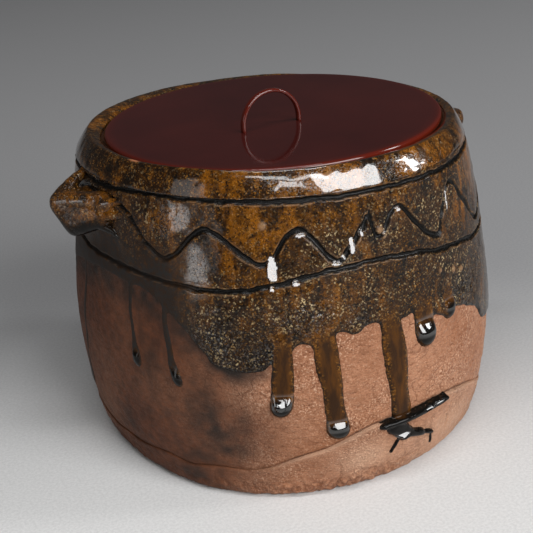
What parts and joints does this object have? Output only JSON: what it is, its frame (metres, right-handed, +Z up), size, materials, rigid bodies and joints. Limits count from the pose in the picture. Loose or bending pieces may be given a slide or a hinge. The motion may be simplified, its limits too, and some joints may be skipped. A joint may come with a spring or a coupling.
{
  "type": "tea ceremony water jar",
  "caption": "Hand-pressed stoneware water jar with running ash glaze, folded side ears and a loose lacquered lid that lifts off by a small bow handle.",
  "frame": {"origin": "centre of the foot's flat underside, on the jar's own axis", "axes": "+Z up, +X from ear to ear, -Y towards the side with the long glaze runs"},
  "size_m": [0.2079, 0.198, 0.1575],
  "materials": {
    "clay": "unglazed fired stoneware, copper brown with dark flashing",
    "coarse_clay": "coarse unglazed fired stoneware",
    "glaze": "glossy amber and charcoal ash glaze with granular speckle",
    "inner_glaze": "glossy thin olive ash glaze",
    "lacquer": "wood under polished dark red-brown lacquer"
  },
  "bodies": {
    "jar": {"jar_wall": "clay", "jar_base": "coarse_clay", "left_ear": "glaze", "right_ear": "glaze", "glaze_coat": "glaze", "inner_glaze": "inner_glaze"},
    "lid": {"lid_board": "lacquer", "lid_bow": "lacquer"}
  },
  "joints": [
    {"name": "lid_lift", "type": "slide", "parent": "jar", "child": "lid", "axis": [0, 0, 1], "range_m": [0, 0.12]}
  ]
}
